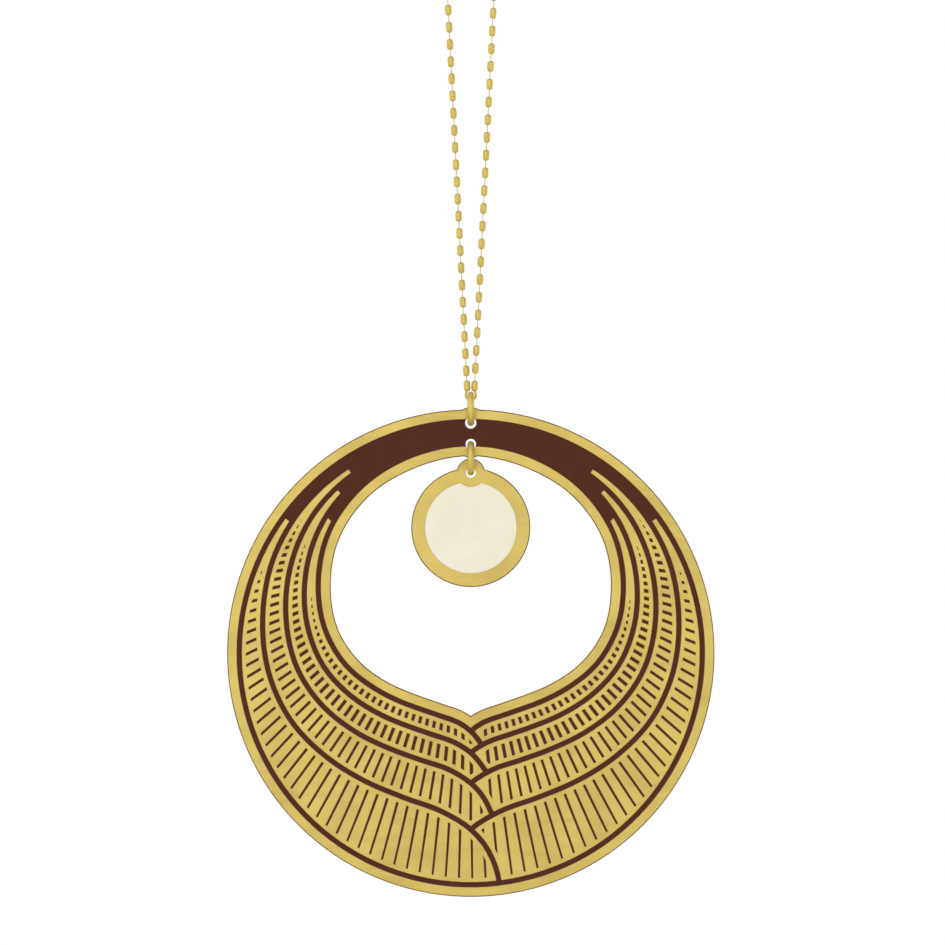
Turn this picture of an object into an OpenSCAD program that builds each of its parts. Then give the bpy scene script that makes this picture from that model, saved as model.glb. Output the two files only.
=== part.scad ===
// Long necklace: a closed bead chain with a round feather pendant and a small charm in its window.
// Millimetres. X is the wearer's side to side, Y points away from the viewer, Z is up.
// The origin is the underside of the clasp, the top of the inside of the loop, where the necklace
// hangs. The pendant's flat shapes are drawn in X and Z from the middle of the disc.

/* [Chain] */
// Length once round the closed loop
loop_length = 760; // [600:10:900]
// Lean of each front strand from upright, in degrees
strand_lean = 2.85; // [2.4:0.05:3.4]
// Diameter of the oblong beads
bead_d = 0.72; // [0.6:0.02:0.8]

/* [Clasp] */
// Length of the barrel clasp
clasp_l = 7; // [6:0.5:10]
// Diameter of the barrel clasp
clasp_d = 2.4; // [2:0.1:3]

/* [Jump rings] */
// Wire diameter of both jump rings
ring_wire = 0.84; // [0.7:0.02:0.86]
// Radius of both rings to the middle of the wire
ring_r = 1.65; // [1.6:0.01:1.7]
// Wire diameter of the saddle link under the upper ring
saddle_wire = 0.26; // [0.2:0.02:0.28]

/* [Disc] */
// Diameter of the disc
disc_d = 58.5; // [54:0.5:64]
// Thickness of the disc
disc_t = 1.0; // [0.9:0.05:1]
// Width of the plain outer rim
rim_w = 1.15; // [1:0.05:1.3]
// Diameter of the hole for the upper ring
top_hole_d = 1.35; // [1.35:0.05:1.6]
// Diameter of the holes for the lower ring
charm_hole_d = 1.24; // [1.24:0.02:1.4]

/* [Feather field] */
// Width of the dark lines
line_w = 0.62; // [0.5:0.02:0.66]
// Depth of the sunk field and of the small marks
sink_t = 0.3; // [0.2:0.05:0.35]
// Space between the small marks and the lines
mark_gap = 0.5; // [0.46:0.01:0.6]
// Angle from one small mark to the next, in degrees
mark_pitch = 2.3; // [2.2:0.01:2.6]

/* [Charm] */
// Diameter of the charm
charm_d = 14.3; // [13:0.1:15]
// Diameter of the pale inlay
inlay_d = 11; // [10:0.2:11.4]
// Thickness of the charm
charm_t = 0.8; // [0.8:0.05:0.9]

/* [Hidden] */
$fn = 64;

// Running gap between enamel and the metal round it, and between chain and clasp
fit_gap = 0.03;
// The enamel's surface lies this much below the metal
enamel_low = 0.04;
chain_sides = 8;

disc_r = disc_d / 2;
field_r = disc_r - rim_w;
scale_k = disc_d / 58.5;
half_w = line_w / 2;

// The half outline of the window and the centre lines of the feather lines. The angle runs from
// straight down, round the left side, to straight up. The other columns are distances from the
// middle of the disc for a 58.5 mm disc, and zero where a line has ended in the dark crescent.
// Columns: angle, window, inner line, second line, third line, outer line
FEATHER = [
    [0,   7.55,  9.35,  11.95, 15.60, 21.15],
    [10,  6.95,  8.45,  10.90, 14.25, 19.35],
    [25,  6.90,  8.35,  10.80, 14.15, 19.10],
    [40,  7.35,  8.90,  11.50, 15.00, 19.95],
    [55,  8.45,  10.20, 13.00, 16.65, 21.40],
    [70,  10.45, 12.30, 15.20, 18.80, 23.10],
    [85,  13.25, 15.15, 17.75, 20.90, 24.40],
    [100, 16.15, 17.85, 19.95, 22.50, 25.35],
    [115, 18.55, 20.20, 21.90, 23.95, 26.25],
    [130, 20.80, 22.35, 23.60, 25.10, 26.70],
    [147, 22.45, 23.95, 24.80, 25.70, 26.80],
    [162, 23.15, 24.73, 0,     0,     0],
    [180, 23.65, 25.13, 0,     0,     0]
];
WINDOW = 1;
TOP_ROW = len(FEATHER) - 1;

// Past the middle, each left line curls down over the right wing to the next line.
// One row of points for each line, from the end of the curl to the middle.
CURL = [
    [[1.45, -11.0], [1.25, -10.85], [0.9, -10.4], [0.48, -9.85]],
    [[1.95, -14.3], [1.7, -14.0], [1.2, -13.3], [0.65, -12.6]],
    [[2.6, -19.4], [2.3, -18.8], [1.9, -17.95], [1.2, -16.85], [0.56, -16.1]],
    [[3.4, -27.6], [3.2, -26.4], [2.6, -24.7], [1.6, -22.9], [0.8, -21.95]]
];

// The gold bands between the lines, and the small marks sunk in them. The marks lie on rays from
// one point above the middle of the disc, and each is turned a little about a pivot on its ray.
// Columns: inner line, angle of the blunt tip, width of the marks at the bottom, their width
// towards the tip, width lost with each millimetre outwards, turn in degrees, distance from the
// ray point to the pivot, number of the last mark
BANDS = [
    [0, 133.4, 0.39, 0.39, 0,     2.4, 23.2, 31],
    [1, 140.8, 0.40, 0.46, 0,     1.5, 23.6, 39],
    [2, 146.4, 0.30, 0.46, 0,     0,   28.0, 43],
    [3, 126,   0.31, 0.32, 0.008, 0.9, 28.4, 36]
];
LAST_MARK = 43;
ray_z = 12.8 * scale_k;
ray_start = 15;
ray_middle = 30;
ray_end = 45;

// Heights above the middle of the disc
window_top = FEATHER[TOP_ROW][WINDOW] * scale_k;
top_hole_z = disc_r - 1.62;
top_boss_r = 1.9;
low_hole_z = window_top + 1.45;
low_boss_r = 1.68;
bail_z = top_hole_z + 0.06 + ring_r;
charm_ring_z = low_hole_z - 0.06 - ring_r;
ear_hole_z = charm_ring_z - ring_r - 0.09;
ear_r = 1.7;
charm_z = ear_hole_z - 6.57;
bail_wire_z = bail_z + ring_r;

// The saddle link: an arc under the ring's wire, and two legs that lean in to the strands
saddle_r = ring_wire / 2 + saddle_wire / 2 + 0.07;
saddle_lean = 20;
strand_end_z = bail_wire_z + 0.65;
leg_l = (strand_end_z - fit_gap - bail_wire_z - saddle_r * sin(saddle_lean)) / cos(saddle_lean);
strand_end_x = saddle_r * cos(saddle_lean) - leg_l * sin(saddle_lean);
saddle_length = saddle_r * PI * (180 + 2 * saddle_lean) / 180 + 2 * leg_l;

// The loop: two straight strands and a round bend over the top that meets them without a corner
bend_turn = PI * (180 + 2 * strand_lean) / 180;
bend_r = (loop_length - saddle_length + 2 * strand_end_x / sin(strand_lean))
         / (bend_turn + 2 / tan(strand_lean));
strand_l = (bend_r * cos(strand_lean) - strand_end_x) / sin(strand_lean);
bend_z = clasp_d / 2 - bend_r;
disc_z = bend_z - bend_r * sin(strand_lean) - strand_l * cos(strand_lean) - strand_end_z;
clasp_half_turn = asin((clasp_l / 2 + fit_gap) / bend_r);
bend_step = 5;

function on_circle(a, r) = [-r * sin(a), -r * cos(a)];
function on_rows(column, first, last) =
    [for (i = [first:last]) if (FEATHER[i][column] > 0)
        on_circle(FEATHER[i][0], FEATHER[i][column] * scale_k)];
function mirrored(p) = [-p[0], p[1]];
function reversed(points) = [for (i = [len(points) - 1:-1:0]) points[i]];

// A smooth curve through hand-placed points, cut into steps of about a millimetre
function chord(points, i) = (points[i + 1] - points[i]) / norm(points[i + 1] - points[i]);
function way(points, i) =
    i == 0 ? 2 * chord(points, 0) - way(points, 1)
    : i == len(points) - 1 ? 2 * chord(points, i - 1) - way(points, i - 1)
    : let (a = norm(points[i] - points[i - 1]), b = norm(points[i + 1] - points[i]))
      (chord(points, i - 1) * b + chord(points, i) * a) / (a + b);
function blend(points, i, t) =
    let (d = norm(points[i + 1] - points[i]))
    points[i] * (2 * t * t * t - 3 * t * t + 1)
    + way(points, i) * d * (t * t * t - 2 * t * t + t)
    + points[i + 1] * (3 * t * t - 2 * t * t * t)
    + way(points, i + 1) * d * (t * t * t - t * t);
function smooth(points) =
    concat([for (i = [0:len(points) - 2])
               let (steps = max(2, ceil(norm(points[i + 1] - points[i]) / 1.1)))
               for (k = [0:steps - 1]) blend(points, i, k / steps)],
           [points[len(points) - 1]]);

// The curve moved sideways, away from the middle of the disc where the distance is positive
function beside(curve, distance) =
    [for (i = [0:len(curve) - 1])
        let (a = curve[max(i - 1, 0)], b = curve[min(i + 1, len(curve) - 1)], d = (b - a) / norm(b - a))
        curve[i] + distance * [-d[1], d[0]]];

// Half curves that run on over the top, so that their halves meet without a corner
function past_top(column) = [mirrored(on_rows(column, TOP_ROW - 1, TOP_ROW - 1)[0])];
function window_curve() = smooth(concat(on_rows(WINDOW, 0, TOP_ROW), past_top(WINDOW)));
function line_curve(line) =
    smooth(concat(scale_k * CURL[line], on_rows(line + 2, 0, TOP_ROW),
                  line == 0 ? past_top(2) : []));
function curl_curve(line) = smooth(concat(scale_k * CURL[line], on_rows(line + 2, 0, 1)));

// Turns a flat drawing in X and Y into a drawing in X and Z at the pendant's place
module at_disc() {
    translate([0, 0, disc_z]) rotate([90, 0, 0]) children();
}

module both_sides() {
    children();
    mirror([1, 0]) children();
}

module left_half(tip_angle = 180) {
    intersection() {
        children();
        polygon([[0, 0], [0, -60], [-60, -60], 60 * on_circle(tip_angle, 1)]);
    }
}

module window_2d() {
    both_sides() left_half() polygon(concat(window_curve(), [[0, 0]]));
}

// Everything inside one line, from the middle of the window out
module inside_line(line, distance) {
    if (line > 3) circle(r = field_r - half_w + distance, $fn = 180);
    else polygon(concat(beside(line_curve(line), distance), [[0, 7]]));
}

module curl_2d(line, distance) {
    curve = curl_curve(line);
    polygon(concat(beside(curve, distance), reversed(beside(curve, -distance))));
}

// One gold band of both wings, drawn back from the lines by a margin
module band_2d(band, margin) {
    line = band[0];
    difference() {
        both_sides() left_half(band[1]) difference() {
            inside_line(line + 1, -(half_w + margin));
            inside_line(line, half_w + margin);
        }
        curl_2d(line, half_w + margin);
    }
}

// A strip that lies on a ray, turned about its pivot
module strip_2d(width, thinning, turn, pivot) {
    top_w = width + thinning * (ray_middle - ray_start);
    low_w = width - thinning * (ray_end - ray_middle);
    translate([0, -pivot]) rotate(turn) translate([0, pivot])
        polygon([[-top_w / 2, -ray_start], [-low_w / 2, -ray_end],
                 [low_w / 2, -ray_end], [top_w / 2, -ray_start]]);
}

module rays_2d(band) {
    last = band[7];
    for (k = [-last:last])
        let (width = band[2] + (band[3] - band[2]) * pow(abs(k) / LAST_MARK, 3))
        translate([0, ray_z]) rotate(k * mark_pitch) strip_2d(width, band[4], band[5], band[6]);
}

// The sunk field of the dark lines and the dark crescent, drawn back by a margin
module field_2d(margin) {
    difference() {
        circle(r = field_r - margin, $fn = 180);
        both_sides() left_half() inside_line(0, margin - half_w);
        for (band = BANDS) band_2d(band, -margin);
    }
}

module marks_2d() {
    for (band = BANDS)
        intersection() {
            band_2d(band, mark_gap);
            rays_2d(band);
        }
}

module disc_2d() {
    difference() {
        union() {
            circle(r = disc_r, $fn = 180);
            translate([0, top_hole_z]) circle(r = top_boss_r);
        }
        difference() {
            window_2d();
            translate([0, low_hole_z]) circle(r = low_boss_r);
        }
    }
}

module disc_holes(margin) {
    translate([0, top_hole_z, -2]) cylinder(d = top_hole_d + 2 * margin, h = 4);
    translate([0, low_hole_z, -2]) cylinder(d = charm_hole_d + 2 * margin, h = 4);
}

module disc_plate() {
    color([0.84, 0.74, 0.41]) at_disc() difference() {
        translate([0, 0, -disc_t / 2]) linear_extrude(disc_t) disc_2d();
        translate([0, 0, disc_t / 2 - sink_t]) linear_extrude(sink_t + 1) {
            field_2d(0);
            marks_2d();
        }
        disc_holes(0);
    }
}

module wing_enamel() {
    color([0.32, 0.18, 0.13]) at_disc() difference() {
        translate([0, 0, disc_t / 2 - sink_t + fit_gap])
            linear_extrude(sink_t - fit_gap - enamel_low) field_2d(fit_gap);
        disc_holes(0.05);
    }
}

module jump_ring(z) {
    color([0.85, 0.75, 0.39]) translate([0, 0, disc_z + z]) rotate([0, 90, 0])
        rotate_extrude() translate([ring_r, 0]) circle(d = ring_wire, $fn = 32);
}

module bail_ring() {
    jump_ring(bail_z);
}

module charm_ring() {
    jump_ring(charm_ring_z);
}

module charm_2d() {
    translate([0, charm_z]) circle(d = charm_d, $fn = 96);
    translate([0, ear_hole_z]) circle(r = ear_r);
}

module inlay_2d(margin) {
    difference() {
        translate([0, charm_z]) circle(r = inlay_d / 2 - margin, $fn = 96);
        translate([0, ear_hole_z]) circle(r = ear_r + margin);
    }
}

module charm_plate() {
    color([0.84, 0.74, 0.41]) at_disc() difference() {
        translate([0, 0, -charm_t / 2]) linear_extrude(charm_t) charm_2d();
        translate([0, 0, charm_t / 2 - sink_t]) linear_extrude(sink_t + 1) inlay_2d(0);
        translate([0, ear_hole_z, -2]) cylinder(d = charm_hole_d, h = 4);
    }
}

module charm_enamel() {
    color([0.95, 0.92, 0.83]) at_disc() translate([0, 0, charm_t / 2 - sink_t + fit_gap])
        linear_extrude(sink_t - fit_gap - enamel_low) inlay_2d(fit_gap);
}

module saddle() {
    color([0.85, 0.73, 0.40]) translate([0, 0, disc_z + bail_wire_z]) rotate([90, 0, 0]) {
        rotate_extrude(angle = 180 + 2 * saddle_lean, start = 180 - saddle_lean)
            translate([saddle_r, 0]) circle(d = saddle_wire, $fn = 24);
        for (side = [0, 1])
            mirror([side, 0, 0]) rotate(saddle_lean) translate([saddle_r, 0, 0])
                rotate([-90, 0, 0]) cylinder(d = saddle_wire, h = leg_l, $fn = 24);
    }
}

// A plain tube of the beads' diameter along a path in the XZ plane, one ring of points to a corner
module tube(path) {
    last = len(path) - 1;
    rings = [for (i = [0:last])
        let (a = path[max(i - 1, 0)], b = path[min(i + 1, last)], d = (b - a) / norm(b - a))
        for (k = [0:chain_sides - 1])
            let (turn = 360 * (k + 0.5) / chain_sides, across = bead_d / 2 * cos(turn))
            [path[i][0] + d[1] * across, bead_d / 2 * sin(turn), path[i][1] - d[0] * across]];
    walls = [for (i = [0:last - 1]) for (k = [0:chain_sides - 1])
        let (n = (k + 1) % chain_sides, low = i * chain_sides, high = low + chain_sides)
        [low + k, high + k, high + n, low + n]];
    polyhedron(rings, concat(walls,
        [[for (k = [0:chain_sides - 1]) k],
         [for (k = [chain_sides - 1:-1:0]) last * chain_sides + k]]));
}

function on_bend(turn) = [bend_r * sin(turn), bend_z + bend_r * cos(turn)];

module chain_back() {
    last_turn = 90 + strand_lean;
    steps = ceil((last_turn - clasp_half_turn) / bend_step);
    path = [for (i = [0:steps]) on_bend(clasp_half_turn + (last_turn - clasp_half_turn) * i / steps)];
    color([0.84, 0.74, 0.41]) both_3d() tube(path);
}

module chain_front() {
    start = on_bend(90 + strand_lean);
    down = [-sin(strand_lean), -cos(strand_lean)];
    color([0.84, 0.74, 0.41]) both_3d() tube([start + down * fit_gap, start + down * strand_l]);
}

module both_3d() {
    children();
    mirror([1, 0, 0]) children();
}

module clasp() {
    dome = clasp_d / 4;
    color([0.84, 0.74, 0.41]) translate([0, 0, clasp_d / 2]) rotate([0, 90, 0]) rotate_extrude()
        intersection() {
            translate([0, -clasp_l / 2]) square([clasp_d, clasp_l]);
            barrel_profile(dome);
        }
}

// Half section of the barrel: straight side and quarter round shoulders
module barrel_profile(dome) {
    side = clasp_l / 2 - dome;
    translate([0, -side]) square([clasp_d / 2, 2 * side]);
    translate([0, -clasp_l / 2]) square([clasp_d / 2 - dome, clasp_l]);
    for (end = [-1, 1]) translate([clasp_d / 2 - dome, end * side]) circle(r = dome);
}

clasp();
chain_back();
chain_front();
saddle();
bail_ring();
disc_plate();
wing_enamel();
charm_ring();
charm_plate();
charm_enamel();
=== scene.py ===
"""A long necklace with a round feather pendant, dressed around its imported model.

Every piece is in metres, in the model's own frame: the origin is under the clasp, where the loop
hangs, X runs across the pendant, Y points away from the viewer and Z is up.
"""

import math

import bmesh
import bpy
from bpy.props import FloatProperty, FloatVectorProperty, PointerProperty
from mathutils import Matrix, Vector


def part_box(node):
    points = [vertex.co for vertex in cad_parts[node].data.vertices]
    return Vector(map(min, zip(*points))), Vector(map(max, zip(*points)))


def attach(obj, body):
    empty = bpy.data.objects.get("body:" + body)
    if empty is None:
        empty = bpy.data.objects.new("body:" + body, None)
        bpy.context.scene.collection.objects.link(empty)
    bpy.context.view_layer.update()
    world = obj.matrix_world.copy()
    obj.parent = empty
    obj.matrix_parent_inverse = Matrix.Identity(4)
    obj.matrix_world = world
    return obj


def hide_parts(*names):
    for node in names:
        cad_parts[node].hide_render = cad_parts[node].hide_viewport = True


bl_info = {
    "name": "Long Feather Necklace",
    "version": (1, 0, 0),
    "blender": (4, 5, 0),
    "location": "View3D > Sidebar > Necklace",
    "description": "Makes the bead chain, rings, brass plates and enamel of a long necklace",
    "category": "Add Mesh",
}

MM = 0.001

# How near two corners lie that are one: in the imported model, in a spun piece, beside a rounded edge
MODEL_MERGE = 0.002 * MM
SPUN_MERGE = 0.001 * MM
ROUNDED_MERGE = 0.0005 * MM
# Shorter edges are taken out of the plates, because a rounding would fold over them
SHORTEST_EDGE = 0.036 * MM
# How far two heights may differ that count as one
SAME_LEVEL = 0.002 * MM
# How much of its direction a flat face has along the plates' thickness at least, and a wall at most
FLAT = 0.99
UPRIGHT = 0.1
# Share by which a flat stretch's area may change where it is filled anew
SAME_AREA = 0.0001
# Height of the brush's lines and of the enamel's waves
BUMP_DEPTH = 0.02 * MM

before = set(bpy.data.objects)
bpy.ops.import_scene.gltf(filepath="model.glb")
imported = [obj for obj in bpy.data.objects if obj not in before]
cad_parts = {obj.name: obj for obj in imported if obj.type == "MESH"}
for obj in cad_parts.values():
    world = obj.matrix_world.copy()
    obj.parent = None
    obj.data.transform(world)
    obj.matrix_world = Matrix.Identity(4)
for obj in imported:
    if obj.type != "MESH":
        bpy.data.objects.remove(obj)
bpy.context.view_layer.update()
disc_low, disc_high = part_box("disc_plate")
disc_middle_z = disc_low.z + (disc_high.x - disc_low.x) / 2


def linear(red, green, blue):
    """A colour given in the 0 to 255 steps of a screen, as the shaders want it."""
    steps = [value / 255 for value in (red, green, blue)]
    return tuple(s / 12.92 if s <= 0.04045 else ((s + 0.055) / 1.055) ** 2.4 for s in steps)


def length(name, description, default, lowest=0.0):
    """A length in metres that a user can change."""
    return FloatProperty(
        name=name, description=description, default=default, min=lowest, unit="LENGTH", precision=5
    )


def tint(name, description, default):
    """A colour that a user can change."""
    return FloatVectorProperty(
        name=name, description=description, default=default, subtype="COLOR", min=0, max=1, size=3
    )


# Sizes and colours that a user would change


class BeadChainSizes(bpy.types.PropertyGroup):
    bead_length: length("Bead length", "Length of one oblong bead with its round ends", 1.32 * MM)
    bead_width: length("Bead width", "Diameter of one oblong bead", 0.78 * MM)
    wire: length("Wire", "Diameter of the wire between the beads", 0.12 * MM)
    left_pitch: length("Left pitch", "Middle to middle of two beads on the left", 2.066 * MM, 1.5 * MM)
    right_pitch: length("Right pitch", "Middle to middle of two beads on the right", 2.134 * MM, 1.5 * MM)
    left_start: length("Left start", "Where the left row starts above the strand's end", 0.18 * MM)
    right_start: length("Right start", "Where the right row starts above the strand's end", 0.44 * MM)
    ring_room: length("Ring room", "Least height of a bead's middle above the strand's end", 0.44 * MM)


class PlateSizes(bpy.types.PropertyGroup):
    outline_round: length("Outer edge", "Rounding of the disc's and the charm's outer edges", 0.12 * MM)
    hole_round: length("Hole edge", "Rounding of the edges of the holes for the rings", 0.03 * MM)
    pocket_round: length("Pocket edge", "Rounding of the metal beside the enamel", 0.03 * MM)
    enamel_rise: length("Enamel edge", "How far under the metal the enamel ends at a wall", 0.03 * MM)
    enamel_dip: length("Enamel dip", "How far the enamel sinks from its walls to its middle", 0.035 * MM)


class RingSizes(bpy.types.PropertyGroup):
    slit: length("Slit", "Width of the cut that closes a jump ring", 0.035 * MM)


class MetalFinish(bpy.types.PropertyGroup):
    plate: tint("Plate brass", "Colour of the disc and the charm", linear(226, 199, 110))
    ring: tint("Ring brass", "Colour of the rings and the saddle link", linear(225, 202, 116))
    chain: tint("Chain brass", "Colour of the beads and the clasp", linear(222, 200, 114))


class EnamelFinish(bpy.types.PropertyGroup):
    brown: tint("Brown enamel", "Colour of the feather lines and the crescent", linear(81, 38, 20))
    ivory: tint("Ivory enamel", "Colour of the charm's round", linear(241, 235, 210))


class StageSizes(bpy.types.PropertyGroup):
    view_width: length("View width", "Width that the camera sees at the pendant", 113.4 * MM)
    view_side: length("View side", "How far the view's middle lies right of the disc's", 0.205 * MM)
    view_rise: length("View rise", "How far the view's middle lies above the disc's", 21.68 * MM)
    floor_drop: length("Floor drop", "Height of the pendant above the floor", 150 * MM)
    floor_radius: length("Floor radius", "Radius of the pale round floor", 1.1)


# Mesh helpers


def mesh_object(name, bm):
    """Makes an object from a finished bmesh, which is used up."""
    mesh = bpy.data.meshes.new(name)
    bm.to_mesh(mesh)
    bm.free()
    made = bpy.data.objects.new(name, mesh)
    bpy.context.scene.collection.objects.link(made)
    return made


def finish(piece, material):
    """Gives a piece one material instead of any that it came with."""
    piece.data.materials.clear()
    piece.data.materials.append(material)


def dress(piece, body, material, stands_for):
    """Gives a new piece its finish, its body and the nodes that it stands for."""
    finish(piece, material)
    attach(piece, body)
    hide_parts(*stands_for)


def merged_copy(node):
    """A copy of a node's mesh with its corners joined and no tiny edges."""
    bm = bmesh.new()
    bm.from_mesh(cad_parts[node].data)
    bmesh.ops.remove_doubles(bm, verts=bm.verts, dist=MODEL_MERGE)
    bmesh.ops.dissolve_degenerate(bm, dist=SHORTEST_EDGE, edges=bm.edges)
    return bm


def spin_closed(bm, line, middle, axis, steps):
    """Spins a line that begins and ends on the axis into a closed body, and gives its corners."""
    laid = set(bm.verts)
    verts = [bm.verts.new(point) for point in line]
    edges = [bm.edges.new(pair) for pair in zip(verts, verts[1:])]
    bmesh.ops.spin(
        bm, geom=verts + edges, cent=middle, axis=axis, angle=math.tau, steps=steps, use_merge=True
    )
    fresh = [vert for vert in bm.verts if vert not in laid]
    bmesh.ops.remove_doubles(bm, verts=fresh, dist=SPUN_MERGE)
    return [vert for vert in fresh if vert.is_valid]


def smooth_all(bm):
    for face in bm.faces:
        face.smooth = True


def faces_viewer(face):
    return face.normal.y < -FLAT


def is_flat(face):
    return abs(face.normal.y) > FLAT


def is_wall(face):
    return abs(face.normal.y) < UPRIGHT


def total_length(edges):
    return sum(edge.calc_length() for edge in edges)


def depth_of(face):
    levels = [vert.co.y for vert in face.verts]
    return max(levels) - min(levels)


def beside_face(face):
    return [other for edge in face.edges for other in edge.link_faces]


def beside_edge(edge):
    return [other for vert in edge.verts for other in vert.link_edges]


def stretches(items, beside):
    """The faces or edges sorted into stretches that hang together, each a list."""
    left = set(items)
    found = []
    for first in items:
        if first not in left:
            continue
        left.discard(first)
        stretch = [first]
        for item in stretch:
            for near in beside(item):
                if near in left:
                    left.discard(near)
                    stretch.append(near)
        found.append(stretch)
    return found


def area_of(faces):
    return sum(face.calc_area() for face in faces)


def triangles_inside(rim, normal, beauty):
    """The rim's corners in threes that fill it, made on a copy of the rim, and the area they cover."""
    spare = bmesh.new()
    copies = {vert: spare.verts.new(vert.co) for vert in dict.fromkeys(v for e in rim for v in e.verts)}
    edges = [spare.edges.new([copies[vert] for vert in edge.verts]) for edge in rim]
    bmesh.ops.triangle_fill(spare, edges=edges, use_beauty=beauty, use_dissolve=False, normal=normal)
    corners = {copy: vert for vert, copy in copies.items()}
    found = [[corners[vert] for vert in face.verts] for face in spare.faces]
    area = area_of(spare.faces)
    spare.free()
    return found, area


def refill_flats(bm, faces):
    """Fills each flat stretch anew inside its rim, because a moved rim leaves its old faces awry."""
    bmesh.ops.remove_doubles(bm, verts=bm.verts, dist=ROUNDED_MERGE)
    faces = [face for face in faces if face.is_valid]
    for island in stretches(faces, beside_face):
        own = set(island)
        around = dict.fromkeys(edge for face in island for edge in face.edges)
        rim = [edge for edge in around if any(face not in own for face in edge.link_faces)]
        whole = area_of(island)
        for beauty in (True, False):
            found, area = triangles_inside(rim, island[0].normal, beauty)
            if abs(area / whole - 1) < SAME_AREA:
                bmesh.ops.delete(bm, geom=island, context="FACES")
                for corners in found:
                    bm.faces.new(corners)
                break
    bmesh.ops.recalc_face_normals(bm, faces=bm.faces)


# Materials


def new_group(name, inputs, outputs):
    """A shader node group with its sockets, given as (name, type, default) and (name, type)."""
    group = bpy.data.node_groups.new(name, "ShaderNodeTree")
    for label, kind, default in inputs:
        socket = group.interface.new_socket(name=label, in_out="INPUT", socket_type=kind)
        if default is not None:
            socket.default_value = default
    for label, kind in outputs:
        group.interface.new_socket(name=label, in_out="OUTPUT", socket_type=kind)
    source = group.nodes.new("NodeGroupInput")
    target = group.nodes.new("NodeGroupOutput")
    return group, source.outputs, target.inputs


def add_node(tree, kind, links=(), **settings):
    """A node with its settings and with (input, output) links made to it."""
    node = tree.nodes.new(kind)
    for key, value in settings.items():
        setattr(node, key, value)
    for socket, output in links:
        tree.links.new(output, node.inputs[socket])
    return node


def noise(tree, vector, scale, detail, roughness=0.55):
    """A noise pattern. Its scale is an output or a number."""
    node = add_node(tree, "ShaderNodeTexNoise", [("Vector", vector)])
    if isinstance(scale, (int, float)):
        node.inputs["Scale"].default_value = scale
    else:
        tree.links.new(scale, node.inputs["Scale"])
    node.inputs["Detail"].default_value = detail
    node.inputs["Roughness"].default_value = roughness
    return node.outputs["Fac"]


def ramped(tree, value, low, high, to_low, to_high):
    """The value moved from one range to another and held inside it."""
    node = add_node(tree, "ShaderNodeMapRange", [("Value", value)])
    given = {"From Min": low, "From Max": high, "To Min": to_low, "To Max": to_high}
    for socket, number in given.items():
        if isinstance(number, (int, float)):
            node.inputs[socket].default_value = number
        else:
            tree.links.new(number, node.inputs[socket])
    return node.outputs["Result"]


def brushed_grain_group():
    """Fine lines left by the polishing brush: a height for the bump and a roughness."""
    group, given, wanted = new_group(
        "brushed_grain",
        [
            ("Vector", "NodeSocketVector", None),
            ("Stretch", "NodeSocketVector", (160, 2500, 2500)),
            ("Smooth", "NodeSocketFloat", 0.26),
            ("Rough", "NodeSocketFloat", 0.4),
        ],
        [("Height", "NodeSocketFloat"), ("Roughness", "NodeSocketFloat")],
    )
    stretched = [(0, given["Vector"]), (1, given["Stretch"])]
    lines = add_node(group, "ShaderNodeVectorMath", stretched, operation="MULTIPLY")
    height = noise(group, lines.outputs["Vector"], scale=1.0, detail=4.0, roughness=0.6)
    patches = noise(group, given["Vector"], scale=180.0, detail=2.0)
    both = add_node(group, "ShaderNodeMath", [(0, height), (1, patches)], operation="ADD")
    rough = ramped(group, both.outputs[0], 0.7, 1.3, given["Smooth"], given["Rough"])
    group.links.new(height, wanted["Height"])
    group.links.new(rough, wanted["Roughness"])
    return group


def tone_drift_group():
    """A slow drift between two tones of one colour, with a finer mottle in it."""
    group, given, wanted = new_group(
        "tone_drift",
        [
            ("Vector", "NodeSocketVector", None),
            ("Tone", "NodeSocketColor", (0.8, 0.8, 0.8, 1)),
            ("Deep Tone", "NodeSocketColor", (0.7, 0.7, 0.7, 1)),
            ("Scale", "NodeSocketFloat", 90.0),
            ("Amount", "NodeSocketFloat", 0.5),
        ],
        [("Color", "NodeSocketColor")],
    )
    broad = noise(group, given["Vector"], given["Scale"], detail=5.0, roughness=0.62)
    share = ramped(group, broad, 0.35, 0.68, 0.0, given["Amount"])
    group.links.new(mixed(group, share, given["Tone"], given["Deep Tone"]), wanted["Color"])
    return group


def enamel_skin_group():
    """The slow waves of fired enamel: a height for the bump and a roughness."""
    group, given, wanted = new_group(
        "enamel_skin",
        [("Vector", "NodeSocketVector", None), ("Scale", "NodeSocketFloat", 600.0)],
        [("Height", "NodeSocketFloat"), ("Roughness", "NodeSocketFloat")],
    )
    waves = noise(group, given["Vector"], given["Scale"], detail=1.5, roughness=0.4)
    haze = noise(group, given["Vector"], scale=2600.0, detail=3.0)
    rough = ramped(group, haze, 0.35, 0.7, 0.06, 0.14)
    group.links.new(waves, wanted["Height"])
    group.links.new(rough, wanted["Roughness"])
    return group


def named_group(name, make):
    """The group of that name, made the first time that it is wanted."""
    return bpy.data.node_groups.get(name) or make()


def use_group(tree, group, vector, **values):
    """Places a group with its values. An underscore in a value's name is the space in its socket's."""
    node = add_node(tree, "ShaderNodeGroup", node_tree=group)
    tree.links.new(vector, node.inputs["Vector"])
    for label, value in values.items():
        node.inputs[label.replace("_", " ")].default_value = value
    return node.outputs


def started_material(name):
    """A material with an empty tree but for the shader and the object's own coordinates."""
    material = bpy.data.materials.new(name)
    material.use_nodes = True
    tree = material.node_tree
    tree.nodes.clear()
    shader = add_node(tree, "ShaderNodeBsdfPrincipled")
    output = add_node(tree, "ShaderNodeOutputMaterial")
    tree.links.new(shader.outputs["BSDF"], output.inputs["Surface"])
    place = add_node(tree, "ShaderNodeTexCoord").outputs["Object"]
    return material, tree, shader, place


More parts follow.
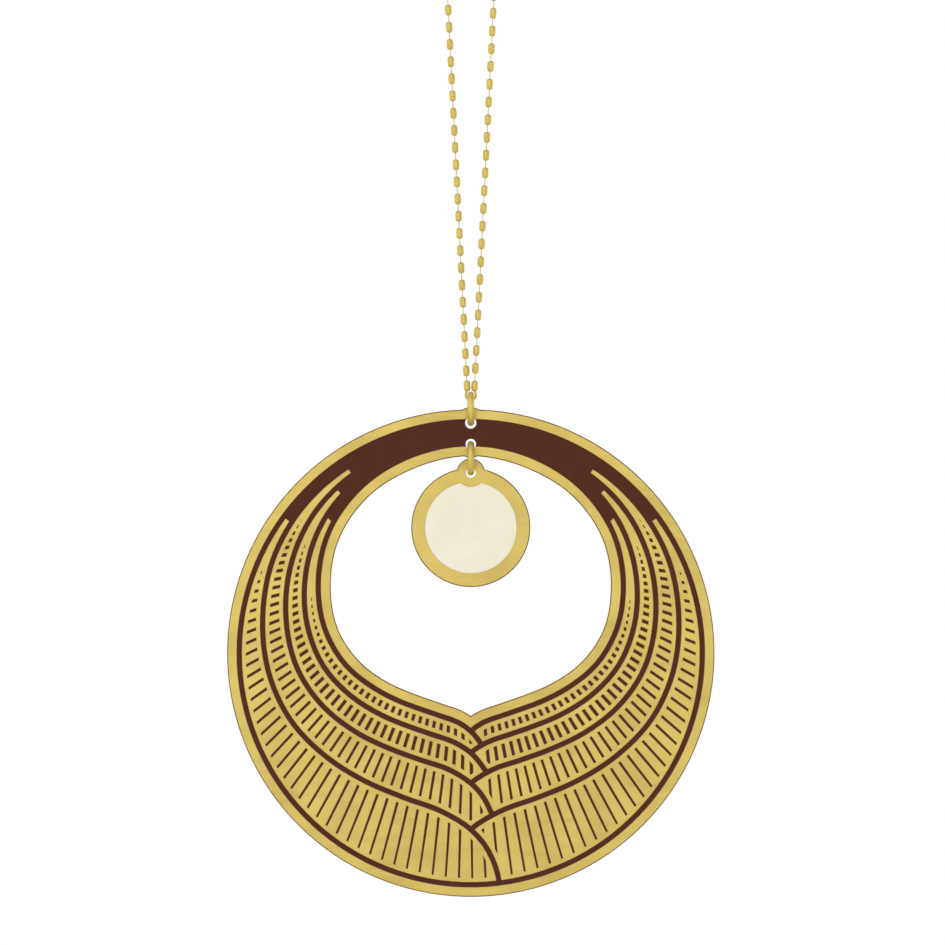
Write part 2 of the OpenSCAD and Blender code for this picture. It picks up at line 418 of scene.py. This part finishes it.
def mixed(tree, share, first, second, blend="MIX"):
    """Two colours mixed by a share. Each is an output or a plain colour."""
    node = add_node(tree, "ShaderNodeMix", data_type="RGBA", blend_type=blend)
    wanted = {"Factor_Float": share, "A_Color": first, "B_Color": second}
    for socket in node.inputs:
        value = wanted.get(socket.identifier)
        if isinstance(value, tuple):
            socket.default_value = value
        elif value is not None:
            tree.links.new(value, socket)
    return next(socket for socket in node.outputs if socket.identifier == "Result_Color")


def bump(tree, shader, height, strength):
    node = add_node(tree, "ShaderNodeBump", [("Height", height)])
    node.inputs["Strength"].default_value = strength
    node.inputs["Distance"].default_value = BUMP_DEPTH
    tree.links.new(node.outputs["Normal"], shader.inputs["Normal"])


def rgba(colour, shares=(1, 1, 1)):
    """A colour for a socket, with each of its channels brought down to a share."""
    return (*(channel * share for channel, share in zip(colour, shares)), 1.0)


# Shares of red, green and blue in the deep tone of each mottled finish, and the tint of the painted shade
# on rounded edges
BRASS_DEEP = (0.92, 0.88, 0.74)
ENAMEL_DEEP = (0.84, 0.8, 0.76)
EDGE_SHADE_TINT = (0.22, 0.12, 0.08, 1.0)


def brass(name, colour, stretch, smooth, rough, bump_strength, edge_darkening=0.0):
    """Gold-coloured brass with brushed lines, and with painted shade where the edge attribute is set."""
    material, tree, shader, place = started_material(name)
    shader.inputs["Metallic"].default_value = 1.0
    tone = use_group(
        tree, named_group("tone_drift", tone_drift_group), place,
        Tone=rgba(colour), Deep_Tone=rgba(colour, BRASS_DEEP), Scale=95.0, Amount=0.42,
    )["Color"]
    # Painted shade: rounded edges are multiplied darker by the edge tint, standing in for edges turned
    # away from the light
    if edge_darkening:
        edge = add_node(tree, "ShaderNodeAttribute", attribute_name="edge").outputs["Fac"]
        share = ramped(tree, edge, 0.0, 1.0, 0.0, edge_darkening)
        tone = mixed(tree, share, tone, EDGE_SHADE_TINT, "MULTIPLY")
    tree.links.new(tone, shader.inputs["Base Color"])
    grain = use_group(
        tree, named_group("brushed_grain", brushed_grain_group), place,
        Stretch=stretch, Smooth=smooth, Rough=rough,
    )
    tree.links.new(grain["Roughness"], shader.inputs["Roughness"])
    bump(tree, shader, grain["Height"], bump_strength)
    return material


def enamel(name, colour, mottle, specular):
    """Glossy fired enamel of one colour with a faint mottle and slow waves."""
    material, tree, shader, place = started_material(name)
    tone = use_group(
        tree, named_group("tone_drift", tone_drift_group), place,
        Tone=rgba(colour), Deep_Tone=rgba(colour, ENAMEL_DEEP), Scale=240.0, Amount=mottle,
    )["Color"]
    tree.links.new(tone, shader.inputs["Base Color"])
    skin = use_group(tree, named_group("enamel_skin", enamel_skin_group), place)
    tree.links.new(skin["Roughness"], shader.inputs["Roughness"])
    shader.inputs["Specular IOR Level"].default_value = specular
    bump(tree, shader, skin["Height"], 0.35)
    return material


def named_material(name, make, colour, **finish):
    """The material of that name, made the first time that it is wanted."""
    return bpy.data.materials.get(name) or make(name, colour, **finish)


def plate_brass(scene):
    return named_material(
        "satin_plate_brass", brass, scene.necklace_metal.plate,
        stretch=(150, 2600, 2600), smooth=0.3, rough=0.42, bump_strength=0.35, edge_darkening=1.0,
    )


def ring_brass(scene):
    return named_material(
        "satin_ring_brass", brass, scene.necklace_metal.ring,
        stretch=(2200, 2200, 700), smooth=0.62, rough=0.72, bump_strength=0.12,
    )


def chain_brass(scene):
    return named_material(
        "satin_chain_brass", brass, scene.necklace_metal.chain,
        stretch=(2600, 2600, 500), smooth=0.62, rough=0.72, bump_strength=0.12,
    )


def brown_enamel(scene):
    return named_material(
        "glossy_brown_enamel", enamel, scene.necklace_enamel.brown, mottle=0.5, specular=0.3
    )


def ivory_enamel(scene):
    return named_material(
        "glossy_ivory_enamel", enamel, scene.necklace_enamel.ivory, mottle=0.3, specular=0.35
    )


# The chain's route, from the tubes that the beads stand for


def strand_ends(side):
    """The middle of the lower and the upper end of one front strand."""
    low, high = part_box("chain_front")
    middle = (low.z + high.z) / 2
    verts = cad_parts["chain_front"].data.vertices
    # The tube is loose triangles, so its corners repeat and each is taken once
    corners = {tuple(round(x, 7) for x in v.co) for v in verts if v.co.x * side > 0}
    ends = [[Vector(c) for c in corners if (c[2] > middle) == upper] for upper in (False, True)]
    return [sum(end, Vector()) / len(end) for end in ends]


class ChainRoute:
    """One side of the loop: straight up from the saddle link, then round the bend to the clasp."""

    def __init__(self, side):
        self.side = side
        self.low, top = strand_ends(side)
        self.straight = (top - self.low).length
        self.lean = math.atan2(abs(top.x - self.low.x), top.z - self.low.z)
        self.bend = abs(top.x) / math.cos(self.lean)
        self.bend_z = top.z + self.bend * math.sin(self.lean)
        clasp_turn = math.asin(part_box("clasp")[1].x / self.bend)
        self.length = self.straight + self.bend * (math.pi / 2 + self.lean - clasp_turn)

    def place(self, distance):
        """The point that far up the route, and the lean of the route there."""
        if distance <= self.straight:
            way = Vector((self.side * math.sin(self.lean), 0, math.cos(self.lean)))
            return self.low + way * distance, self.side * self.lean
        turn = math.pi / 2 + self.lean - (distance - self.straight) / self.bend
        aside = self.side * self.bend * math.sin(turn)
        above = self.bend * math.cos(turn)
        return Vector((aside, 0, self.bend_z + above)), self.side * (turn - math.pi / 2)


# Pieces


class NECKLACE_OT_bead_chain(bpy.types.Operator):
    """Strings oblong beads on fine wire, from the saddle link round to the clasp on both sides"""

    bl_idname = "necklace.bead_chain"
    bl_label = "Bead Chain"

    sides = 12
    corner_steps = 3
    sharp_turn = math.radians(50)
    # How far the wire goes into the clasp
    tail = 0.4 * MM

    def bead_outline(self, sizes):
        """Points of (distance from the bead's middle, radius), from its lower end to its upper."""
        wire = sizes.wire / 2
        corner = sizes.bead_width / 2 - wire
        lower = []
        for step in range(self.corner_steps + 1):
            turn = math.pi / 2 * step / self.corner_steps
            along = corner * (1 - math.cos(turn)) - sizes.bead_length / 2
            lower.append((along, wire + corner * math.sin(turn)))
        return lower + [(-along, radius) for along, radius in reversed(lower)]

    def stops(self, route, sizes):
        """How far each bead's middle lies up the route."""
        left = route.side < 0
        first = sizes.left_start if left else sizes.right_start
        pitch = sizes.left_pitch if left else sizes.right_pitch
        count = int((route.length - sizes.bead_length / 2 - first) / pitch)
        return [max(first + pitch * i, sizes.ring_room) for i in range(count + 1)]

    def string(self, bm, side, sizes):
        """Spins one straight string of beads and their wire, and lays it along its route."""
        route = ChainRoute(side)
        bead = self.bead_outline(sizes)
        outline = [(stop + along, radius) for stop in self.stops(route, sizes) for along, radius in bead]
        end = route.length + self.tail
        outline = [(outline[0][0], 0.0), *outline, (end, sizes.wire / 2), (end, 0.0)]
        line = [(radius, 0, along) for along, radius in outline]
        for vert in spin_closed(bm, line, (0, 0, 0), (0, 0, 1), self.sides):
            point, lean = route.place(vert.co.z)
            vert.co = point + Matrix.Rotation(lean, 3, "Y") @ Vector((vert.co.x, vert.co.y, 0))

    def execute(self, context):
        sizes = context.scene.necklace_chain
        bm = bmesh.new()
        for side in (-1, 1):
            self.string(bm, side, sizes)
        bmesh.ops.recalc_face_normals(bm, faces=bm.faces)
        smooth_all(bm)
        for edge in bm.edges:
            edge.smooth = edge.calc_face_angle(0) < self.sharp_turn
        chain = mesh_object("bead_chain", bm)
        dress(chain, "chain", chain_brass(context.scene), ("chain_front", "chain_back"))
        return {"FINISHED"}


class NECKLACE_OT_saddle_link(bpy.types.Operator):
    """Finishes the thin bent wire that carries the chain under the upper ring"""

    bl_idname = "necklace.saddle_link"
    bl_label = "Saddle Link"

    def execute(self, context):
        finish(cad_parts["saddle"], ring_brass(context.scene))
        return {"FINISHED"}


class NECKLACE_OT_jump_rings(bpy.types.Operator):
    """Bends both jump rings from round wire, each with the fine slit where its ends meet"""

    bl_idname = "necklace.jump_rings"
    bl_label = "Jump Rings"

    wire_sides = 24
    steps = 80

    def ring(self, node, slit):
        """One ring of round wire in the node's place, a full turn but for the slit at its back."""
        low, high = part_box(node)
        wire = high.x - low.x
        middle = (low + high) / 2
        radius = (high.z - low.z - wire) / 2
        gap_turn = slit / radius
        bm = bmesh.new()
        start = Matrix.Translation(middle) @ Matrix.Rotation(gap_turn / 2, 4, "X")
        made = bmesh.ops.create_circle(
            bm, segments=self.wire_sides, radius=wire / 2,
            matrix=start @ Matrix.Translation((0, radius, 0)),
        )
        edges = list(dict.fromkeys(edge for vert in made["verts"] for edge in vert.link_edges))
        bmesh.ops.spin(
            bm, geom=made["verts"] + edges, cent=middle, axis=(1, 0, 0),
            angle=math.tau - gap_turn, steps=self.steps, use_duplicate=False,
        )
        bmesh.ops.holes_fill(bm, edges=[e for e in bm.edges if e.is_boundary], sides=0)
        bmesh.ops.recalc_face_normals(bm, faces=bm.faces)
        for face in bm.faces:
            face.smooth = len(face.verts) == 4
        return bm

    def execute(self, context):
        slit = context.scene.necklace_rings.slit
        for node, body in (("bail_ring", "top_ring"), ("charm_ring", "pendant")):
            made = mesh_object(node + "_wire", self.ring(node, slit))
            dress(made, body, ring_brass(context.scene), (node,))
        return {"FINISHED"}


class NECKLACE_OT_brass_plates(bpy.types.Operator):
    """Rounds the edges of the disc and the charm, apart from those of the smallest marks"""

    bl_idname = "necklace.brass_plates"
    bl_label = "Brass Plates"

    # A rim shorter than this is a hole for a ring
    hole_length = 6 * MM
    # A mark with a rim shorter than this keeps its plain edge
    smallest_pocket = 1.35 * MM
    # Share of the plate's thickness from which a wall counts as going through it
    through_share = 0.75
    # Turn in radians under which neighbouring faces are one
    same_plane = 0.001
    # Steps of the rounding, and the share of painted edge shade on it, outside and beside the enamel
    outer_steps = 3
    outer_shade = 1.0
    pocket_steps = 2
    pocket_shade = 0.5

    def is_outside(self, face, low, high):
        """Whether the face lies at the plate's front or back."""
        level = face.calc_center_median().y
        return min(abs(level - low.y), abs(level - high.y)) < SAME_LEVEL

    def edges_at(self, bm, level, thickness, through):
        """Edges of a flat face at that level whose wall does, or doesn't, go through the plate."""
        found = []
        for edge in bm.edges:
            if len(edge.link_faces) != 2 or any(abs(v.co.y - level) > SAME_LEVEL for v in edge.verts):
                continue
            flat = [face for face in edge.link_faces if is_flat(face)]
            walls = [face for face in edge.link_faces if is_wall(face)]
            if len(flat) == 1 and len(walls) == 1:
                if (depth_of(walls[0]) > self.through_share * thickness) == through:
                    found.append(edge)
        return found

    def rounded(self, bm, edges, size, steps, layer, share):
        """Rounds the edges, and sets how much painted shade their new faces take."""
        made = bmesh.ops.bevel(
            bm, geom=edges, offset=size, offset_type="OFFSET", segments=steps, profile=0.5,
            affect="EDGES", clamp_overlap=False, loop_slide=True, material=-1,
        )
        for face in made["faces"]:
            face[layer] = share

    def plate(self, node, sizes):
        """The node's plate with its outer edges, its holes and its larger pockets rounded."""
        low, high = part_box(node)
        thickness = high.y - low.y
        bm = merged_copy(node)
        bmesh.ops.dissolve_limit(bm, angle_limit=self.same_plane, verts=bm.verts, edges=bm.edges)
        # The edge layer holds each face's share of painted shade, which the plate brass darkens by
        layer = bm.faces.layers.float.new("edge")
        through = self.edges_at(bm, low.y, thickness, True) + self.edges_at(bm, high.y, thickness, True)
        loops = stretches(through, beside_edge)
        small = {edge for loop in loops if total_length(loop) < self.hole_length for edge in loop}
        outline = [edge for edge in through if edge not in small]
        holes = [edge for edge in through if edge in small]
        self.rounded(bm, outline, sizes.outline_round, self.outer_steps, layer, self.outer_shade)
        self.rounded(bm, holes, sizes.hole_round, self.outer_steps, layer, self.outer_shade)
        loops = stretches(self.edges_at(bm, low.y, thickness, False), beside_edge)
        pockets = [edge for loop in loops if total_length(loop) > self.smallest_pocket for edge in loop]
        self.rounded(bm, pockets, sizes.pocket_round, self.pocket_steps, layer, self.pocket_shade)
        # Where a pocket's rounding meets a hole's, a corner can stand out of the plate
        for vert in bm.verts:
            vert.co.y = min(max(vert.co.y, low.y), high.y)
        outside = [face for face in bm.faces if is_flat(face) and self.is_outside(face, low, high)]
        refill_flats(bm, outside)
        for face in bm.faces:
            face.smooth = not is_flat(face)
        return bm

    def execute(self, context):
        for node in ("disc_plate", "charm_plate"):
            made = mesh_object(node + "_brass", self.plate(node, context.scene.necklace_plates))
            dress(made, "pendant", plate_brass(context.scene), (node,))
        return {"FINISHED"}


class NECKLACE_OT_enamel_fills(bpy.types.Operator):
    """Fills the sunk field, the small marks and the charm's round with enamel that climbs its walls"""

    bl_idname = "necklace.enamel_fills"
    bl_label = "Enamel Fills"

    # Half the width of the widest mark that has a plain fill
    narrow = 0.1 * MM
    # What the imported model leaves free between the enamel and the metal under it
    fitting_gap = 0.03 * MM
    # Width of each strip along the walls, and its share of the dip
    strips = ((0.035 * MM, 0.65), (0.035 * MM, 0.35))

    def is_floor(self, face, floor):
        """Whether the face is the bottom of a pocket."""
        return faces_viewer(face) and abs(face.calc_center_median().y - floor) < SAME_LEVEL

    def floor_only(self, bm, floor):
        """Keeps only the faces at the bottom of the plate's pockets."""
        lost = [face for face in bm.faces if not self.is_floor(face, floor)]
        bmesh.ops.delete(bm, geom=lost, context="FACES")

    def half_width(self, island):
        """Half the mean width of a long flat stretch, from its area and its rim."""
        rim = [edge for face in island for edge in face.edges if edge.is_boundary]
        return area_of(island) / total_length(rim)

    def raised(self, bm, floor, level):
        """Turns the pocket floors into closed blocks up to the level, and gives their upper faces."""
        tops = list(bm.faces)
        grown = bmesh.ops.extrude_face_region(bm, geom=tops, use_keep_orig=True)
        moved = [item for item in grown["geom"] if isinstance(item, bmesh.types.BMVert)]
        upper = [item for item in grown["geom"] if isinstance(item, bmesh.types.BMFace)]
        bmesh.ops.translate(bm, verts=moved, vec=(0, level - floor, 0))
        bmesh.ops.recalc_face_normals(bm, faces=bm.faces)
        return upper

    def sunk_ring(self, bm, faces, width, dip):
        """Draws the faces in from their walls and sinks what is inside."""
        bmesh.ops.inset_region(
            bm, faces=faces, thickness=width, use_even_offset=False, use_boundary=True
        )
        inner = {vert for face in faces for vert in face.verts}
        bmesh.ops.translate(bm, verts=list(inner), vec=(0, dip, 0))

    def fill(self, node, floor, surface, sizes):
        """The enamel in every pocket of the node's plate, from the floor up to the surface."""
        bm = merged_copy(node)
        self.floor_only(bm, floor)
        layer = bm.faces.layers.int.new("wide")
        for island in stretches(bm.faces, beside_face):
            wide = self.half_width(island) > self.narrow
            for face in island:
                face[layer] = int(wide)
        upper = self.raised(bm, floor, surface + sizes.enamel_rise)
        wide = [face for face in upper if face[layer]]
        for width, share in self.strips:
            self.sunk_ring(bm, wide, width, share * sizes.enamel_dip)
        refill_flats(bm, wide)
        for face in bm.faces:
            face.smooth = not is_flat(face)
        return bm

    def execute(self, context):
        scene = context.scene
        plan = (
            ("disc_plate", "wing_enamel", "wing_enamel_fill", "brown_enamel", brown_enamel),
            ("charm_plate", "charm_enamel", "charm_enamel_fill", "ivory_enamel", ivory_enamel),
        )
        for plate, node, name, slot, material in plan:
            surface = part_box(plate)[0].y
            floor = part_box(node)[1].y + self.fitting_gap
            made = mesh_object(name, self.fill(plate, floor, surface, scene.necklace_plates))
            dress(made, "pendant", material(scene), (node,))
        return {"FINISHED"}


class NECKLACE_OT_clasp(bpy.types.Operator):
    """Turns the plain barrel clasp, with its fine middle seam and a small hole at each end"""

    bl_idname = "necklace.clasp"
    bl_label = "Clasp"

    steps = 48
    shoulder_steps = 6
    # The seam's depth, and half its width at its bottom and at the barrel's surface
    seam_depth = 0.1 * MM
    seam_bottom = 0.03 * MM
    seam_top = 0.07 * MM
    # How far two fine turned lines lie from each end, and their depth, which is half their width
    lines = (1.15 * MM, 0.9 * MM)
    line_depth = 0.05 * MM
    hole_radius = 0.25 * MM
    hole_depth = 0.3 * MM

    def turned_line(self, middle, radius):
        depth = self.line_depth
        return [(middle - depth, radius), (middle, radius - depth), (middle + depth, radius)]

    def half_profile(self, half_length, radius, shoulder):
        """Points of (distance from the middle, radius), from the seam to the hole in the end."""
        seam = radius - self.seam_depth
        points = [(0.0, seam), (self.seam_bottom, seam), (self.seam_top, radius)]
        for from_end in self.lines:
            points += self.turned_line(half_length - from_end, radius)
        for step in range(self.shoulder_steps + 1):
            turn = math.pi / 2 * step / self.shoulder_steps
            along = half_length - shoulder * (1 - math.sin(turn))
            points.append((along, radius - shoulder * (1 - math.cos(turn))))
        bottom = half_length - self.hole_depth
        return points + [(half_length, self.hole_radius), (bottom, self.hole_radius), (bottom, 0.0)]

    def execute(self, context):
        low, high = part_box("clasp")
        middle = (low + high) / 2
        radius = (high.z - low.z) / 2
        profile = self.half_profile(high.x, radius, radius / 2)
        profile = [(-x, r) for x, r in reversed(profile[1:])] + profile
        bm = bmesh.new()
        spin_closed(bm, [(x, 0, middle.z + r) for x, r in profile], middle, (1, 0, 0), self.steps)
        bmesh.ops.recalc_face_normals(bm, faces=bm.faces)
        smooth_all(bm)
        clasp = mesh_object("barrel_clasp", bm)
        dress(clasp, "chain", chain_brass(context.scene), ("clasp",))
        return {"FINISHED"}


# Name, place from the disc's middle in metres, side length and brightness of each soft light
SOFTBOXES = (
    ("front_left", (-0.34, -0.62, 0.10), 0.45, 1.8),
    ("front_right", (0.34, -0.62, 0.05), 0.45, 1.32),
    ("front_top", (0.0, -0.60, 0.42), 0.45, 1.56),
    ("front_low", (0.0, -0.62, -0.36), 0.4, 0.96),
    ("key_top_left", (-0.45, -0.35, 0.55), 0.3, 2.64),
    ("back_left", (-0.20, 0.80, 0.12), 0.35, 1.6),
    ("back_right", (0.20, 0.80, 0.12), 0.35, 1.6),
    ("overhead", (0.0, 0.10, 0.80), 0.5, 1.2),
    ("side_left", (-0.75, 0.25, 0.05), 0.6, 1.6),
    ("side_right", (0.75, 0.25, 0.05), 0.6, 1.75),
)


class NECKLACE_OT_stage(bpy.types.Operator):
    """Sets the camera, the soft lights, the white surroundings and the pale floor"""

    bl_idname = "necklace.stage"
    bl_label = "Stage"

    # The camera's focal length in millimetres
    lens = 200
    # The light that comes from all around
    around_colour = (0.9, 0.93, 1, 1)
    around_strength = 0.41
    floor_sides = 128
    # How much of its own tone the floor glows with where the camera sees it
    floor_glow = 0.6

    def add_camera(self, scene, sizes):
        camera = bpy.data.cameras.new("camera")
        camera.lens = self.lens
        distance = sizes.view_width * camera.lens / camera.sensor_width
        camera.clip_start = 0.01
        camera.clip_end = 20
        made = bpy.data.objects.new("camera", camera)
        made.location = (sizes.view_side, disc_low.y - distance, disc_middle_z + sizes.view_rise)
        made.rotation_euler = (math.pi / 2, 0, 0)
        scene.collection.objects.link(made)
        scene.camera = made

    def add_softbox(self, scene, name, place, aim, size, radiance):
        """A square area light that the camera can't see. Radiance 1 looks as bright as white paper."""
        light = bpy.data.lights.new(name, "AREA")
        light.shape = "SQUARE"
        light.size = size
        light.energy = radiance * math.pi * size * size
        made = bpy.data.objects.new(name, light)
        made.location = place
        made.rotation_euler = (Vector(aim) - Vector(place)).to_track_quat("-Z", "Y").to_euler()
        made.visible_camera = False
        scene.collection.objects.link(made)

    def add_world(self, scene):
        """Surroundings that the camera sees as plain white and that light the pieces softly."""
        world = bpy.data.worlds.new("surroundings")
        world.use_nodes = True
        tree = world.node_tree
        tree.nodes.clear()
        seen = add_node(tree, "ShaderNodeBackground")
        seen.inputs["Color"].default_value = (1, 1, 1, 1)
        around = add_node(tree, "ShaderNodeBackground")
        around.inputs["Color"].default_value = self.around_colour
        around.inputs["Strength"].default_value = self.around_strength
        mix = add_node(tree, "ShaderNodeMixShader")
        tree.links.new(add_node(tree, "ShaderNodeLightPath").outputs["Is Camera Ray"], mix.inputs["Fac"])
        tree.links.new(around.outputs[0], mix.inputs[1])
        tree.links.new(seen.outputs[0], mix.inputs[2])
        output = add_node(tree, "ShaderNodeOutputWorld", [("Surface", mix.outputs[0])])
        output.is_active_output = True
        scene.world = world

    def add_floor(self, sizes):
        bm = bmesh.new()
        bmesh.ops.create_circle(
            bm, cap_ends=True, segments=self.floor_sides, radius=sizes.floor_radius,
            matrix=Matrix.Translation((0, 0, disc_low.z - sizes.floor_drop)),
        )
        floor = mesh_object("floor", bm)
        material, tree, shader, place = started_material("pale_floor")
        shader.inputs["Roughness"].default_value = 0.7
        tone = use_group(
            tree, named_group("tone_drift", tone_drift_group), place,
            Tone=(0.86, 0.86, 0.85, 1), Deep_Tone=(0.82, 0.82, 0.81, 1), Scale=3.0, Amount=0.6,
        )["Color"]
        tree.links.new(tone, shader.inputs["Base Color"])
        tree.links.new(tone, shader.inputs["Emission Color"])
        seen = add_node(tree, "ShaderNodeLightPath").outputs["Is Camera Ray"]
        glow = ramped(tree, seen, 0.0, 1.0, 0.0, self.floor_glow)
        tree.links.new(glow, shader.inputs["Emission Strength"])
        floor.data.materials.append(material)

    def execute(self, context):
        scene = context.scene
        sizes = scene.necklace_stage
        scene.view_settings.view_transform = "Standard"
        self.add_camera(scene, sizes)
        aim = (0, 0, disc_middle_z)
        for name, (side, back, rise), size, radiance in SOFTBOXES:
            place = (side, back, disc_middle_z + rise)
            self.add_softbox(scene, name, place, aim, size, radiance)
        self.add_world(scene)
        self.add_floor(sizes)
        return {"FINISHED"}


class NECKLACE_PT_panel(bpy.types.Panel):
    """Lists the necklace's pieces, sizes and finishes"""

    bl_label = "Necklace"
    bl_idname = "NECKLACE_PT_panel"
    bl_space_type = "VIEW_3D"
    bl_region_type = "UI"
    bl_category = "Necklace"

    def draw(self, context):
        layout = self.layout
        for operator in OPERATORS:
            layout.operator(operator.bl_idname)
        for label, group_class in SETTINGS.items():
            box = layout.box()
            group = getattr(context.scene, label)
            for key in group_class.__annotations__:
                box.prop(group, key)


SETTINGS = {
    "necklace_chain": BeadChainSizes,
    "necklace_rings": RingSizes,
    "necklace_plates": PlateSizes,
    "necklace_metal": MetalFinish,
    "necklace_enamel": EnamelFinish,
    "necklace_stage": StageSizes,
}
OPERATORS = (
    NECKLACE_OT_stage,
    NECKLACE_OT_bead_chain,
    NECKLACE_OT_saddle_link,
    NECKLACE_OT_jump_rings,
    NECKLACE_OT_brass_plates,
    NECKLACE_OT_enamel_fills,
    NECKLACE_OT_clasp,
)


def register():
    for kind in (*SETTINGS.values(), *OPERATORS, NECKLACE_PT_panel):
        bpy.utils.register_class(kind)
    for label, group_class in SETTINGS.items():
        setattr(bpy.types.Scene, label, PointerProperty(type=group_class))


def unregister():
    for label in SETTINGS:
        delattr(bpy.types.Scene, label)
    for kind in reversed((*SETTINGS.values(), *OPERATORS, NECKLACE_PT_panel)):
        bpy.utils.unregister_class(kind)


def main():
    register()
    bpy.ops.necklace.stage()
    bpy.ops.necklace.bead_chain()
    bpy.ops.necklace.saddle_link()
    bpy.ops.necklace.jump_rings()
    bpy.ops.necklace.brass_plates()
    bpy.ops.necklace.enamel_fills()
    bpy.ops.necklace.clasp()


if __name__ == "__main__":
    main()
